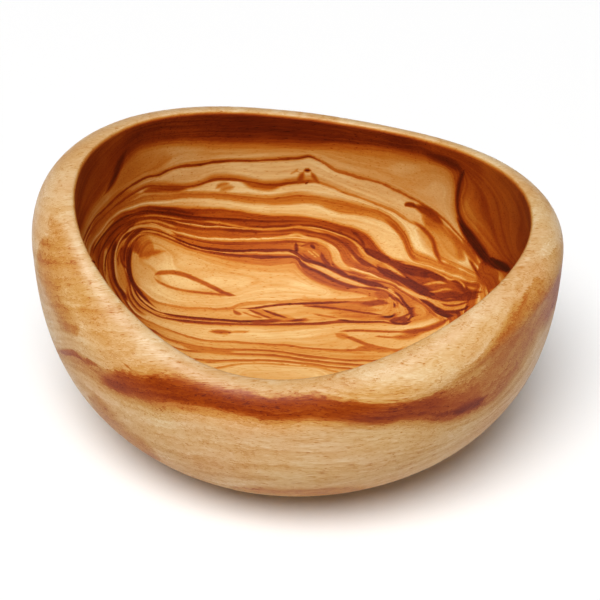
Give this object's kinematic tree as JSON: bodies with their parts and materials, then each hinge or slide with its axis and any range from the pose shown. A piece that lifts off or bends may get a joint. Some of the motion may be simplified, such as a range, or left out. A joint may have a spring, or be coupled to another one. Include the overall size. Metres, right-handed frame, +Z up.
{
  "type": "olive dish",
  "caption": "Small thick-walled bowl carved from one block of olive wood, with a rolled rim that rises at the sides and dips at the front, and a flat foot.",
  "frame": {"origin": "centre of the flat foot, on the surface that the dish stands on", "axes": "+Z up out of the hollow, +X to the right, towards one high side of the rim, and -Y towards the low front of the rim"},
  "size_m": [0.1206, 0.1086, 0.0602],
  "materials": {
    "olive_wood": "oiled, satin"
  },
  "bodies": {
    "root": {"bowl": "olive_wood"}
  },
  "joints": []
}
